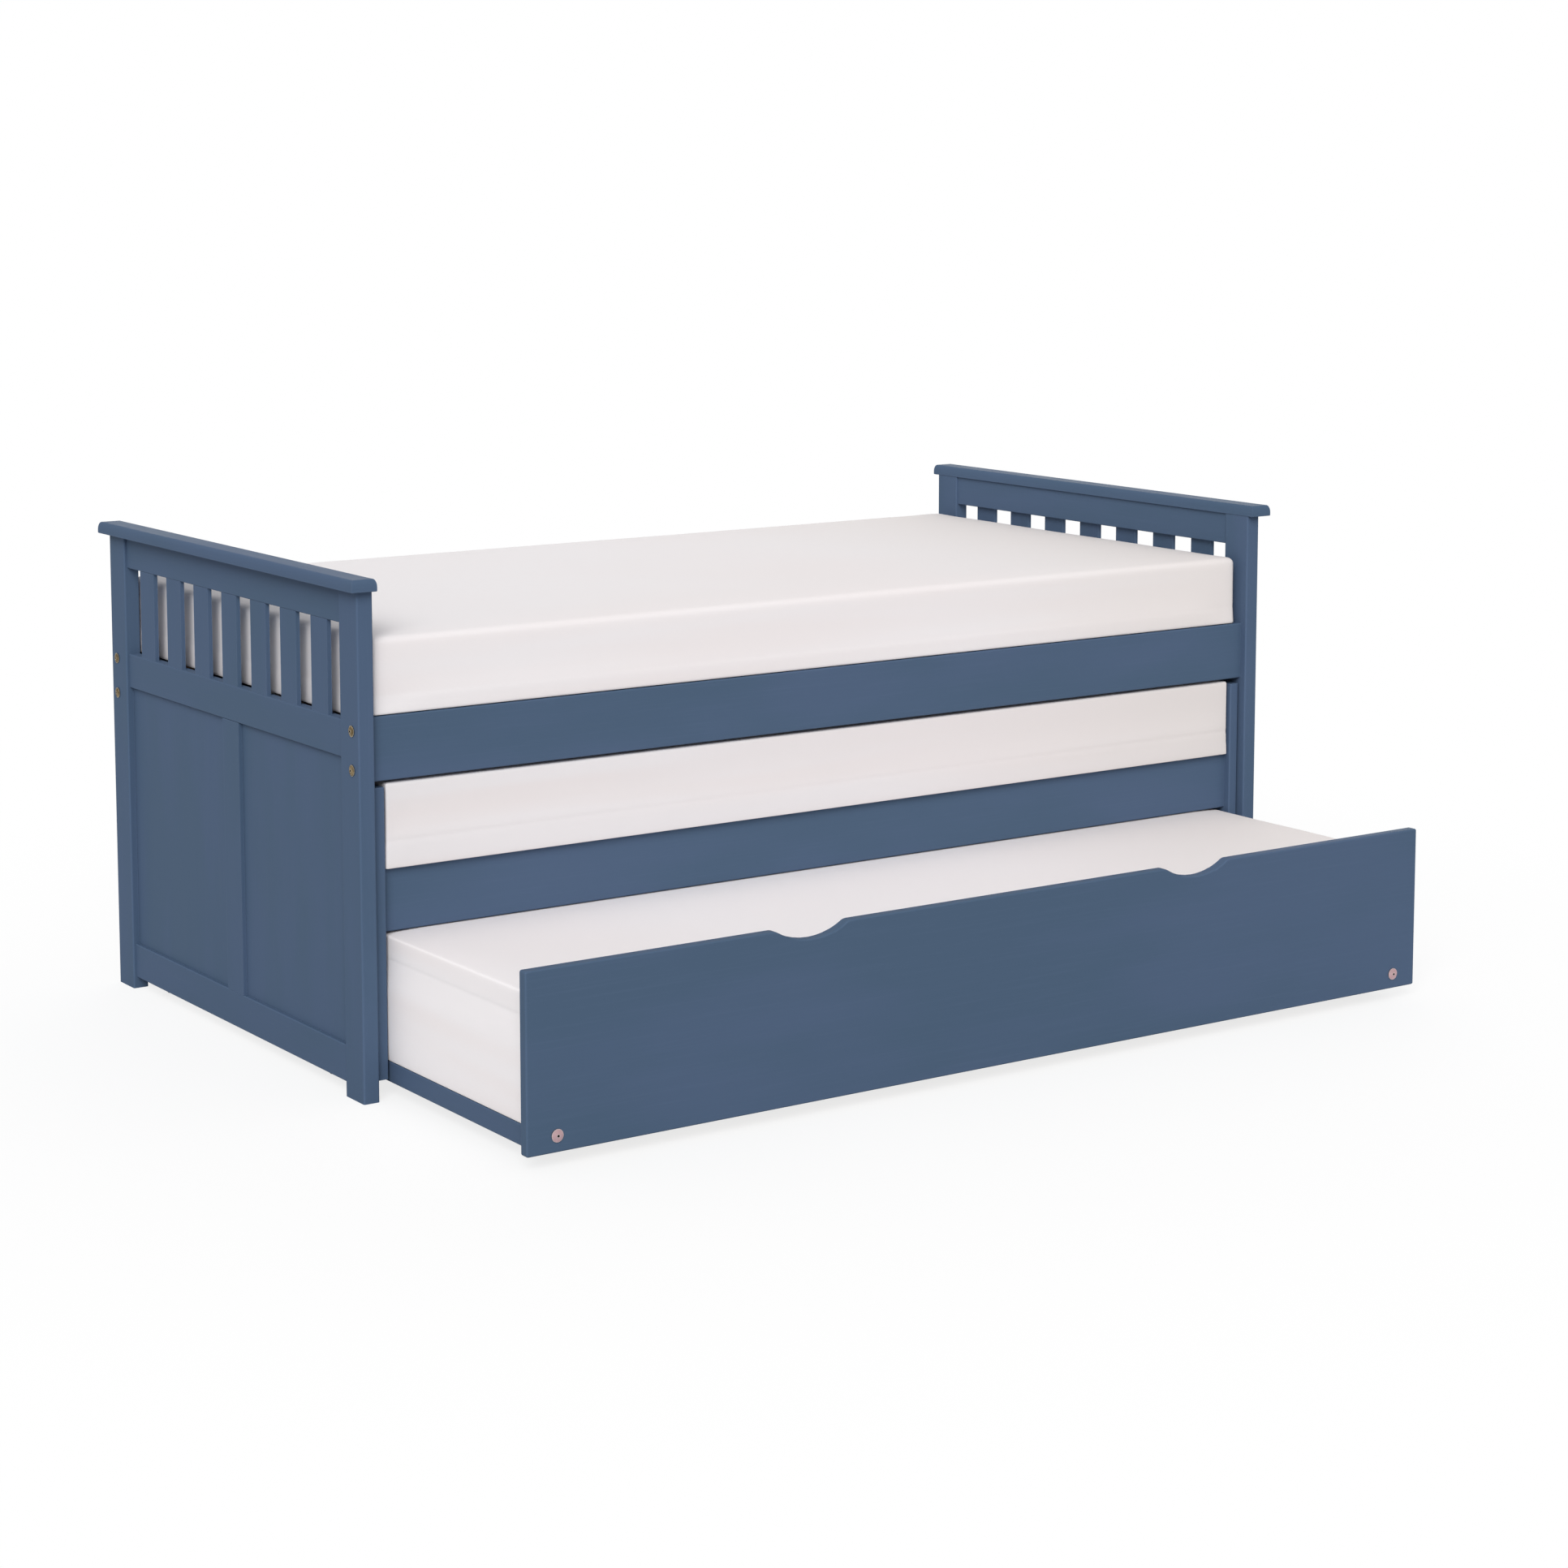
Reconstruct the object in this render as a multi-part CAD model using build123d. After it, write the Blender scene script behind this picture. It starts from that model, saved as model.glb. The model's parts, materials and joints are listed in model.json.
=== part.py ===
"""Three-tier trundle bed in painted wood, in millimetres.

A main bed stands on four posts, between a footboard and a headboard that are the same panel turned
round. A middle bed on its own legs and casters rolls out from under it, and carries a low trundle
that rolls out further. +X points to the headboard, -Y to the front, +Z up, and the origin is on the
floor under the middle of the whole object, with the trundle drawn half out.

While modelling, X = 0 is the middle of the bed's length and Y = 0 the front face of its front posts.
"""
import math
import os

from build123d import *

# Main bed
bed_length = 2020.0
bed_width = 1024.0
post_thickness = 30.0
post_width = 67.0
post_height = 879.0
post_round = 3.0

# Cap on each end panel
cap_height = 21.5
cap_outer_overhang = 16.5
cap_inner_overhang = 1.5
cap_end_overhang = 15.0
cap_edge_height = 7.0
cap_crown_inset = 6.0
cap_arris = 1.0

# End panels
panel_rail_thickness = 20.0
panel_rail_recess = 6.0
upper_rail_height = 61.0
middle_rail_bottom = 588.0
middle_rail_height = 65.0
bottom_rail_bottom = 22.0
bottom_rail_height = 65.0
mullion_width = 65.0
rail_round = 2.0
tenon_thickness = 10.0
tenon_length = 25.0
tenon_shoulder = 10.0
slat_count = 7
slat_width = 61.0
slat_thickness = 8.0
slat_recess = 1.0
slat_tongue_thickness = 4.0
slat_tongue_shoulder = 5.0
slat_tongue_length = 10.0
panel_thickness = 6.0
panel_recess = 7.7
groove_depth = 8.0
joint_clearance = 0.2

# Side rails and deck of the main bed
main_rail_thickness = 20.0
main_rail_recess = 14.5
main_rail_bottom = 551.0
main_rail_height = 111.0
main_deck_drop = 11.0
side_rail_round = 3.0

# Decks of all three beds
deck_board_width = 90.0
deck_board_thickness = 18.0
deck_board_count = 12
deck_rise = 0.7
deck_clearance = 2.0
deck_end_margin = 60.0
board_round = 2.0
cleat_depth = 22.0
cleat_height = 30.0
cleat_setback = 70.0

# Connector bolts and barrel nuts
bolt_head_radius = 9.75
bolt_head_rim = 1.4
bolt_head_dome = 2.8
bolt_radius = 3.0
bolt_socket_width = 4.0
bolt_socket_depth = 2.2
bolt_tip_length = 8.0
bolt_clearance = 0.5
thread_clearance = 0.08
nut_radius = 5.0
nut_length = 14.0
nut_setback = 38.0
nut_clearance = 0.1
main_bolt_inset = 22.0
flush_head_radius = 7.0
flush_head_height = 3.5
middle_bolt_inset = 28.0

# Middle bed
middle_gap = 5.0
middle_leg_thickness = 20.0
middle_leg_width = 60.0
middle_leg_recess = 15.0
middle_leg_top = 540.0
middle_rail_thickness = 20.0
middle_rail_recess = 15.0
middle_bed_rail_bottom = 286.0
middle_bed_rail_height = 110.0
foot_rail_height = 70.0
end_tenon_thickness = 8.0

# Trundle
trundle_drawn_out = 483.0
trundle_proud = 7.0
front_board_gap = 4.0
front_board_thickness = 20.0
front_board_bottom = 26.0
front_board_height = 302.0
front_board_round = 3.0
front_board_corner = 4.0
scoop_width = 148.0
scoop_depth = 22.0
scoop_lip_round = 20.0
scoop_spacing = 848.0
trundle_side_gap = 5.0
trundle_length = 965.0
trundle_side_width = 46.0
trundle_side_height = 36.0
trundle_back_thickness = 22.0
trundle_bearer_from_end = 1
trundle_screw_head_radius = 11.0
trundle_screw_radius = 3.5
trundle_screw_length = 75.0
trundle_screw_height = 28.0
trundle_screw_inset = 56.0

# Casters, the same under the middle bed and the trundle
caster_height = 33.0
wheel_radius = 12.5
wheel_width = 10.0
wheel_bevel = 1.2
wheel_gap = 0.6
bracket_sheet = 1.6
bracket_length = 60.0
bracket_fork_length = 20.0
bracket_fork_bottom = 8.0
axle_radius = 2.5
axle_clearance = 0.08
axle_head_radius = 4.0
axle_head_thickness = 1.2
caster_from_front = 190.0
caster_from_back = 120.0

# Mattresses
mattress_rest_gap = 0.3
mattress_lap_gap = 1.0
mattress_round = 10.0
lower_mattress_round = 6.0
mattress_foot_round = 3.0
main_mattress_end_gap = 9.5
main_mattress_side_recess = 16.0
main_mattress_thickness = 148.0
middle_mattress_end_gap = 2.5
middle_mattress_side_recess = 16.0
middle_mattress_thickness = 146.5
trundle_mattress_front_gap = 2.0
trundle_mattress_thickness = 220.0

right_angle = math.degrees(math.pi / 2)

# Planes that several pieces share
bed_end = bed_length / 2
bed_middle = bed_width / 2
post_inner = bed_end - post_thickness
end_rail_outer = bed_end - panel_rail_recess
end_rail_inner = end_rail_outer - panel_rail_thickness
upper_rail_bottom = post_height - upper_rail_height
middle_rail_top = middle_rail_bottom + middle_rail_height
bottom_rail_top = bottom_rail_bottom + bottom_rail_height
panel_outer = end_rail_outer - panel_recess
panel_inner = panel_outer - panel_thickness
slat_outer = end_rail_outer - slat_recess
slat_inner = slat_outer - slat_thickness
main_rail_inner = main_rail_recess + main_rail_thickness
main_rail_top = main_rail_bottom + main_rail_height
main_deck_top = main_rail_top - main_deck_drop
middle_outer = post_inner - middle_gap
middle_inner = middle_outer - middle_leg_thickness
middle_rail_front = middle_leg_recess + middle_rail_recess
middle_rail_back = middle_rail_front + middle_rail_thickness
middle_bed_rail_top = middle_bed_rail_bottom + middle_bed_rail_height
middle_deck_top = middle_bed_rail_top + deck_rise
leg_inner_side = middle_leg_recess + middle_leg_width
front_board_back = front_board_thickness - trundle_proud - trundle_drawn_out
front_board_front = front_board_back - front_board_thickness
front_board_top = front_board_bottom + front_board_height
front_board_end = post_inner - front_board_gap
trundle_outer = middle_inner - trundle_side_gap
trundle_inner = trundle_outer - trundle_side_width
trundle_back = front_board_back + trundle_length
trundle_back_inner = trundle_back - trundle_back_thickness
trundle_side_top = front_board_bottom + trundle_side_height
trundle_deck_top = trundle_side_top + deck_rise
trundle_screw_z = front_board_bottom + trundle_screw_height
trundle_screw_x = front_board_end - trundle_screw_inset
trundle_screw_front = front_board_front - bolt_head_rim - bolt_head_dome
origin_y = (trundle_screw_front + bed_width + cap_end_overhang) / 2


def block(x, y, z):
    """Box between two X, two Y and two Z values, each pair in either order."""
    sizes = [abs(b - a) for a, b in (x, y, z)]
    centre = [(a + b) / 2 for a, b in (x, y, z)]
    return Pos(*centre) * Box(*sizes)


def board(x, y, z, grain, rounding):
    """Block with its four edges along the grain rounded."""
    solid = block(x, y, z)
    return fillet(solid.edges().filter_by(grain), rounding)


def grown(pair, amount):
    """The two ends of a span, each moved outward."""
    low, high = min(pair), max(pair)
    return (low - amount, high + amount)


def rod(start, direction, radius, length):
    """Cylinder from a point along a direction."""
    return extrude(Plane(start, z_dir=direction) * Circle(radius), length)


def turned(shape):
    """The same piece at the other end of the bed, turned half round about the bed's middle."""
    about = Axis((0, bed_middle, 0), (0, 0, 1))
    return shape.rotate(about, 180)


def spread(count, low, high):
    """Centres of equal steps from one value to another, both included."""
    return [low + (high - low) * i / (count - 1) for i in range(count)]


# End panels, modelled as the footboard at -X

post_side = (post_width, bed_width - post_width)
end_rail_x = (-end_rail_outer, -end_rail_inner)
tenon_middle = -(end_rail_outer + end_rail_inner) / 2
tenon_x = (tenon_middle - tenon_thickness / 2, tenon_middle + tenon_thickness / 2)
panel_x = (-panel_outer, -panel_inner)
upper_rail_z = (upper_rail_bottom, post_height)
middle_rail_z = (middle_rail_bottom, middle_rail_top)
bottom_rail_z = (bottom_rail_bottom, bottom_rail_top)
bolt_heights = (main_rail_top - main_bolt_inset, main_rail_bottom + main_bolt_inset)
main_bolt_y = main_rail_recess + main_rail_thickness / 2


def tenon_span(rail_z):
    """Heights between which a rail's tenon stands, inside its shoulders."""
    return (rail_z[0] + tenon_shoulder, rail_z[1] - tenon_shoulder)


def slat_centres():
    """Slat centres that leave equal gaps between slats and posts."""
    opening = post_side[1] - post_side[0]
    gap = (opening - slat_count * slat_width) / (slat_count + 1)
    return [post_side[0] + gap * (i + 1) + slat_width * (i + 0.5) for i in range(slat_count)]


def slat_tongue(centre, clearance):
    """Tongues at both ends of one slat, or the mortises for them."""
    middle = -(slat_outer + slat_inner) / 2
    half_width = slat_width / 2 - slat_tongue_shoulder
    reach = slat_tongue_length + clearance
    x = grown((middle - slat_tongue_thickness / 2, middle + slat_tongue_thickness / 2), clearance)
    y = grown((centre - half_width, centre + half_width), clearance)
    return block(x, y, (middle_rail_top - reach, upper_rail_bottom + reach))


def panel_groove():
    """Space that the two lower panels fill, with the groove around them."""
    y = grown(post_side, groove_depth)
    z = grown((bottom_rail_top, middle_rail_bottom), groove_depth)
    return block(grown(panel_x, joint_clearance), y, z)


def post():
    x = (-bed_end, -post_inner)
    solid = board(x, (0, post_width), (0, post_height), Axis.Z, post_round)
    for rail_z in (upper_rail_z, middle_rail_z, bottom_rail_z):
        depth = (post_width - tenon_length - joint_clearance, post_width)
        z = grown(tenon_span(rail_z), joint_clearance)
        solid -= block(grown(tenon_x, joint_clearance), depth, z)
    solid -= panel_groove()
    for z in bolt_heights:
        bore_radius = bolt_radius + bolt_clearance
        solid -= rod((-bed_end, main_bolt_y, z), (1, 0, 0), bore_radius, post_thickness)
    return solid


def end_rail(rail_z):
    solid = board(end_rail_x, post_side, rail_z, Axis.Y, rail_round)
    solid += block(tenon_x, grown(post_side, tenon_length), tenon_span(rail_z))
    return solid


def slotted(rail):
    for centre in slat_centres():
        rail -= slat_tongue(centre, joint_clearance)
    return rail


def upper_rail():
    return slotted(end_rail(upper_rail_z))


def middle_rail():
    return slotted(end_rail(middle_rail_z)) - panel_groove()


def bottom_rail():
    return end_rail(bottom_rail_z) - panel_groove()


def slats():
    pieces = []
    for centre in slat_centres():
        y = (centre - slat_width / 2, centre + slat_width / 2)
        face = block((-slat_outer, -slat_inner), y, (middle_rail_top, upper_rail_bottom))
        pieces.append(face + slat_tongue(centre, 0))
    return Compound(pieces)


def mullion():
    """Upright between the two panels, with stub tenons and side grooves."""
    y = (bed_middle - mullion_width / 2, bed_middle + mullion_width / 2)
    z = (bottom_rail_top, middle_rail_bottom)
    solid = block(end_rail_x, y, z)
    reach = groove_depth - joint_clearance
    solid += block(panel_x, y, grown(z, reach))
    for side in y:
        solid -= block(grown(panel_x, joint_clearance), grown((side, side), groove_depth), grown(z, reach))
    return solid


def panels():
    reach = groove_depth - joint_clearance
    z = grown((bottom_rail_top, middle_rail_bottom), reach)
    first = (post_side[0] - reach, bed_middle - mullion_width / 2 + reach)
    second = (bed_middle + mullion_width / 2 - reach, post_side[1] + reach)
    return Compound([block(panel_x, y, z) for y in (first, second)])


def cap_section(width):
    """Half-round crown on an upright edge, standing on the section plane's X axis."""
    side = width / 2
    shoulder = side - cap_crown_inset
    rise = cap_height - cap_edge_height
    outline = [
        Line((-side + cap_arris, 0), (side - cap_arris, 0)),
        Line((side - cap_arris, 0), (side, cap_arris)),
        Line((side, cap_arris), (side, cap_edge_height)),
        EllipticalCenterArc((shoulder, cap_edge_height), cap_crown_inset, rise, 0, arc_size=right_angle),
        Line((shoulder, cap_height), (-shoulder, cap_height)),
        EllipticalCenterArc(
            (-shoulder, cap_edge_height), cap_crown_inset, rise, right_angle, arc_size=right_angle),
        Line((-side, cap_edge_height), (-side, cap_arris)),
        Line((-side, cap_arris), (-side + cap_arris, 0)),
    ]
    return make_face(Curve() + outline)


def cap():
    """Moulded cap whose crown returns around all four sides, mitred at the corners."""
    depth = cap_outer_overhang + post_thickness + cap_inner_overhang
    length = bed_width + 2 * cap_end_overhang
    middle = -(bed_end + cap_outer_overhang - depth / 2)
    lengthways = Plane((middle, bed_middle, post_height), x_dir=(1, 0, 0), z_dir=(0, -1, 0))
    crossways = Plane((middle, bed_middle, post_height), x_dir=(0, 1, 0), z_dir=(1, 0, 0))
    along = extrude(lengthways * cap_section(depth), length / 2, both=True)
    across = extrude(crossways * cap_section(length), depth / 2, both=True)
    return along & across


def end_panel(name, place):
    """Nodes of one end panel; place puts a piece of the footboard where it belongs."""
    front, back = ("front", "back") if name == "footboard" else ("back", "front")
    mirrored_post = mirror(post(), about=Plane((0, bed_middle, 0), z_dir=(0, 1, 0)))
    pieces = {
        "post_" + front: post(),
        "post_" + back: mirrored_post,
        "cap": cap(),
        "upper_rail": upper_rail(),
        "middle_rail": middle_rail(),
        "bottom_rail": bottom_rail(),
        "slats": slats(),
        "mullion": mullion(),
        "panels": panels(),
    }
    return {f"{name}_{piece}": place(solid) for piece, solid in pieces.items()}


# Side rails, bolts and decks

def side_rail(outer_x, y, z, bolt_z):
    """Rail between two posts or legs, bored at both ends for bolts and barrel nuts."""
    solid = board((-outer_x, outer_x), y, z, Axis.X, side_rail_round)
    centre = sum(y) / 2
    inner = max(y)
    reach = nut_setback + bolt_tip_length + bolt_clearance
    for end in (-1, 1):
        for height in bolt_z:
            solid -= rod((end * outer_x, centre, height), (-end, 0, 0), bolt_radius + bolt_clearance, reach)
            nut_place = (end * (outer_x - nut_setback), inner, height)
            depth = (inner - centre) + nut_length / 2 + nut_clearance
            solid -= rod(nut_place, (0, -1, 0), nut_radius + nut_clearance, depth)
    return solid


def barrel_nuts(outer_x, y, bolt_z):
    """Cross dowels in both ends of one rail, each with a hole for its bolt."""
    nuts = []
    for end in (-1, 1):
        for height in bolt_z:
            x = end * (outer_x - nut_setback)
            nut = rod((x, y + nut_length / 2, height), (0, -1, 0), nut_radius, nut_length)
            hole_start = (x - nut_radius, y, height)
            nut -= rod(hole_start, (1, 0, 0), bolt_radius + thread_clearance, 2 * nut_radius)
            nuts.append(nut)
    return nuts


def hex_socket(radius):
    return extrude(RegularPolygon(radius, 6), -bolt_socket_depth)


def domed_bolt(length, radius, head_radius):
    """Bolt with a low domed head standing on Z = 0 and its shank below."""
    head_top = bolt_head_rim + bolt_head_dome
    profile = make_face(Curve() + [
        Line((0, -length), (radius, -length)),
        Line((radius, -length), (radius, 0)),
        Line((radius, 0), (head_radius, 0)),
        Line((head_radius, 0), (head_radius, bolt_head_rim)),
        TangentArc((0, head_top), (head_radius, bolt_head_rim), tangent=(1, 0)),
        Line((0, head_top), (0, -length)),
    ])
    solid = revolve(Plane.XZ * profile, Axis.Z)
    return solid - Pos(0, 0, head_top) * hex_socket(bolt_socket_width / math.sqrt(3))


def flush_bolt(length):
    """Bolt whose countersunk head ends at Z = 0, with its shank below."""
    profile = make_face(Polyline(
        (0, -length), (bolt_radius, -length), (bolt_radius, -flush_head_height),
        (flush_head_radius, 0), (0, 0), close=True))
    solid = revolve(Plane.XZ * profile, Axis.Z)
    return solid - hex_socket(bolt_socket_width / math.sqrt(3))


def facing(solid, place, direction):
    """Puts a bolt modelled along Z at a place, its head facing a direction."""
    return Plane(place, z_dir=direction) * solid


def four_corners(pieces):
    """Pieces at the front rail's ends, and the same ones turned round to the back rail."""
    return Compound(pieces + [turned(piece) for piece in pieces])


def main_rail():
    y = (main_rail_recess, main_rail_inner)
    return side_rail(post_inner, y, (main_rail_bottom, main_rail_top), bolt_heights)


def bed_bolts():
    bolt = domed_bolt(post_thickness + nut_setback + bolt_tip_length, bolt_radius, bolt_head_radius)
    bolts = []
    for end in (-1, 1):
        for height in bolt_heights:
            bolts.append(facing(bolt, (end * bed_end, main_bolt_y, height), (end, 0, 0)))
    return four_corners(bolts)


def deck_spans(end):
    """Centres of the deck boards along the bed, inside the cleats' length."""
    reach = end - deck_end_margin - deck_board_width / 2
    return spread(deck_board_count, -reach, reach)


def deck(end, y, top, skipped=()):
    """Loose boards across the bed, resting on its two cleats."""
    boards = []
    for place, centre in enumerate(deck_spans(end)):
        if place in skipped:
            continue
        x = (centre - deck_board_width / 2, centre + deck_board_width / 2)
        boards.append(board(x, y, (top - deck_board_thickness, top), Axis.Y, board_round))
    return Compound(boards)


def cleats(end, rail_inner, top):
    """Strips inside both side rails, short of the barrel nuts."""
    x = (-end + cleat_setback, end - cleat_setback)
    z = (top - deck_board_thickness - cleat_height, top - deck_board_thickness)
    strip = board(x, (rail_inner, rail_inner + cleat_depth), z, Axis.X, board_round)
    return Compound([strip, turned(strip)])


# Middle bed

middle_bolt_heights = (middle_bed_rail_top - middle_bolt_inset, middle_bed_rail_bottom + middle_bolt_inset)
middle_bolt_y = (middle_rail_front + middle_rail_back) / 2
leg_x = (-middle_outer, -middle_inner)
leg_side = (leg_inner_side, bed_width - leg_inner_side)
end_tenon_middle = -(middle_outer + middle_inner) / 2
end_tenon_x = (end_tenon_middle - end_tenon_thickness / 2, end_tenon_middle + end_tenon_thickness / 2)
middle_end_z = (middle_bed_rail_bottom, middle_bed_rail_top)
foot_rail_z = (caster_height, caster_height + foot_rail_height)


def middle_leg():
    y = (middle_leg_recess, leg_inner_side)
    solid = board(leg_x, y, (caster_height, middle_leg_top), Axis.Z, board_round)
    for rail_z in (middle_end_z, foot_rail_z):
        depth = (leg_inner_side - tenon_length - joint_clearance, leg_inner_side)
        z = grown(tenon_span(rail_z), joint_clearance)
        solid -= block(grown(end_tenon_x, joint_clearance), depth, z)
    bore = rod((0, 0, 0), (0, 0, -1), bolt_radius + bolt_clearance, middle_leg_thickness)
    bore += Pos(0, 0, -flush_head_height / 2) * Cone(
        bolt_radius + bolt_clearance, flush_head_radius + bolt_clearance, flush_head_height)
    for height in middle_bolt_heights:
        solid -= facing(bore, (-middle_outer, middle_bolt_y, height), (-1, 0, 0))
    return solid


def middle_end_rail(rail_z):
    solid = board(leg_x, leg_side, rail_z, Axis.Y, board_round)
    solid += block(end_tenon_x, grown(leg_side, tenon_length), tenon_span(rail_z))
    return solid


def middle_side_rail():
    y = (middle_rail_front, middle_rail_back)
    return side_rail(middle_inner, y, middle_end_z, middle_bolt_heights)


def middle_bolts():
    length = middle_leg_thickness + nut_setback + bolt_tip_length
    bolts = []
    for end in (-1, 1):
        for height in middle_bolt_heights:
            place = (end * middle_outer, middle_bolt_y, height)
            bolts.append(facing(flush_bolt(length), place, (end, 0, 0)))
    return four_corners(bolts)


# Trundle

bearer_places = (trundle_bearer_from_end, deck_board_count - 1 - trundle_bearer_from_end)


def scoop_outline(height):
    """Hand-hold below Z = height: one shallow arc, open at the top."""
    half = scoop_width / 2
    above = height + scoop_depth
    return make_face(Curve() + [
        ThreePointArc((-half, height), (0, height - scoop_depth), (half, height)),
        Line((half, height), (half, above)),
        Line((half, above), (-half, above)),
        Line((-half, above), (-half, height)),
    ])


def front_board():
    """Full-length board with two hand-holds in its top edge."""
    x = (-front_board_end, front_board_end)
    y = (front_board_front, front_board_back)
    solid = board(x, y, (front_board_bottom, front_board_top), Axis.Y, front_board_corner)
    for centre in (-scoop_spacing / 2, scoop_spacing / 2):
        face = Plane((centre, front_board_back, 0), x_dir=(1, 0, 0), z_dir=(0, -1, 0))
        solid -= extrude(face * scoop_outline(front_board_top), front_board_thickness)
    straight = front_board_end - front_board_corner
    upper = solid.edges().filter_by(Axis.Y).group_by(Axis.Z)[-1]
    solid = fillet(upper.filter_by(lambda edge: abs(edge.center().X) < straight), scoop_lip_round)
    rims = solid.faces().filter_by(Axis.Y).edges()
    solid = fillet(rims, front_board_round)
    for x in (-trundle_screw_x, trundle_screw_x):
        start = (x, front_board_front, trundle_screw_z)
        solid -= rod(start, (0, 1, 0), trundle_screw_radius + bolt_clearance, front_board_thickness)
    return solid


def trundle_side_rails():
    """Low rails under both ends of the mattress, bored for the screws at front and back."""
    rails = []
    for side in (-1, 1):
        x = (side * trundle_inner, side * trundle_outer)
        z = (front_board_bottom, trundle_side_top)
        rail = board(x, (front_board_back, trundle_back_inner), z, Axis.Y, board_round)
        reach = trundle_screw_length - front_board_thickness + bolt_clearance
        hole_radius = trundle_screw_radius + thread_clearance
        for y, direction in ((front_board_back, 1), (trundle_back_inner, -1)):
            start = (side * trundle_screw_x, y, trundle_screw_z)
            rail -= rod(start, (0, direction, 0), hole_radius, reach)
        rails.append(rail)
    return Compound(rails)


def trundle_back_rail():
    y = (trundle_back_inner, trundle_back)
    z = (front_board_bottom, trundle_side_top)
    solid = board((-trundle_outer, trundle_outer), y, z, Axis.X, board_round)
    for x in (-trundle_screw_x, trundle_screw_x):
        start = (x, trundle_back, trundle_screw_z)
        solid -= rod(start, (0, -1, 0), trundle_screw_radius + bolt_clearance, trundle_back_thickness)
    return solid


def trundle_screws():
    screw = domed_bolt(trundle_screw_length, trundle_screw_radius, trundle_screw_head_radius)
    screws = []
    for x in (-trundle_screw_x, trundle_screw_x):
        screws.append(facing(screw, (x, front_board_front, trundle_screw_z), (0, -1, 0)))
        screws.append(facing(screw, (x, trundle_back, trundle_screw_z), (0, 1, 0)))
    return Compound(screws)


def ledger_spans():
    """Y spans of the strips on the front board's back and the back rail's inside."""
    front = (front_board_back, front_board_back + cleat_depth)
    back = (trundle_back_inner - cleat_depth, trundle_back_inner)
    return (front, back)


def trundle_ledgers():
    x = (-trundle_inner + deck_clearance, trundle_inner - deck_clearance)
    z = (front_board_bottom, trundle_deck_top - deck_board_thickness)
    return Compound([board(x, y, z, Axis.X, board_round) for y in ledger_spans()])


def bearer_centres():
    centres = deck_spans(trundle_inner)
    return [centres[place] for place in bearer_places]


def trundle_bearers():
    """Thick deck boards that carry the casters, notched over the ledgers."""
    deck_y = (front_board_back + deck_clearance, trundle_back_inner - deck_clearance)
    notch_z = (caster_height, trundle_deck_top - deck_board_thickness)
    bearers = []
    for centre in bearer_centres():
        x = (centre - deck_board_width / 2, centre + deck_board_width / 2)
        solid = board(x, deck_y, (caster_height, trundle_deck_top), Axis.Y, board_round)
        for span in ledger_spans():
            solid -= block(x, grown(span, deck_clearance), notch_z)
        bearers.append(solid)
    return Compound(bearers)


# Casters, each modelled on its own axle and rolling along Y

def caster_bracket():
    """Bent sheet fork under a narrow plate, with its axle hole on the origin."""
    half_inside = wheel_width / 2 + wheel_gap
    half_outside = half_inside + bracket_sheet
    plate_top = caster_height - wheel_radius
    cheek_bottom = bracket_fork_bottom - wheel_radius
    plate_y = (-bracket_length / 2, bracket_length / 2)
    solid = block((-half_outside, half_outside), plate_y, (plate_top - bracket_sheet, plate_top))
    outline = Polyline(
        (bracket_fork_length / 4, cheek_bottom),
        (bracket_fork_length / 2, plate_top - bracket_sheet),
        (-bracket_fork_length / 2, plate_top - bracket_sheet),
        (-bracket_fork_length / 4, cheek_bottom),
        close=True,
    )
    for side in (-1, 1):
        cheek = Plane((side * half_inside, 0, 0), x_dir=(0, side, 0), z_dir=(side, 0, 0))
        solid += extrude(cheek * make_face(outline), bracket_sheet)
    return solid - rod((-half_outside, 0, 0), (1, 0, 0), axle_radius, 2 * half_outside)


def caster_axle():
    """Rivet through the fork, with a flat head on each side."""
    half_outside = wheel_width / 2 + wheel_gap + bracket_sheet
    solid = rod((-half_outside, 0, 0), (1, 0, 0), axle_radius, 2 * half_outside)
    for side in (-1, 1):
        solid += rod((side * half_outside, 0, 0), (side, 0, 0), axle_head_radius, axle_head_thickness)
    return solid


def caster_wheel():
    """Plain wheel with bevelled tread edges and a running bore."""
    profile = Rectangle(wheel_radius, wheel_width, align=(Align.MIN, Align.CENTER))
    rims = profile.vertices().sort_by(Axis.X)[-2:]
    profile = chamfer(rims, wheel_bevel)
    bore = Rectangle(axle_radius + axle_clearance, wheel_width, align=(Align.MIN, Align.CENTER))
    solid = revolve(Plane.XZ * (profile - bore), Axis.Z)
    return Plane(origin=(0, 0, 0), z_dir=(1, 0, 0)) * solid


def caster_places(lines, front, back):
    """Axle centres of four casters, named by corner."""
    places = {}
    for side, x in zip(("left", "right"), lines):
        places["front_" + side] = (x, front + caster_from_front, wheel_radius)
        places["back_" + side] = (x, back - caster_from_back, wheel_radius)
    return places


def casters(name, lines, front, back):
    """Brackets, axles and wheels of one bed's four casters."""
    places = caster_places(lines, front, back)
    nodes = {
        name + "_caster_brackets": Compound([Pos(*at) * caster_bracket() for at in places.values()]),
        name + "_caster_axles": Compound([Pos(*at) * caster_axle() for at in places.values()]),
    }
    for corner, at in places.items():
        nodes[f"{name}_wheel_{corner}"] = Pos(*at) * caster_wheel()
    return nodes


# Mattresses

def foot_edges(solid, bottom):
    """Every edge that lies on the underside."""
    return solid.edges().filter_by(lambda edge: edge.center().Z < bottom + mattress_foot_round)


def mattress(x, y, z, rounding):
    """Pad with soft upper and upright edges and a crisper edge underneath."""
    solid = block(x, y, z)
    solid = fillet(solid.edges() - foot_edges(solid, z[0]), rounding)
    return fillet(foot_edges(solid, z[0]), mattress_foot_round)


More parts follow.
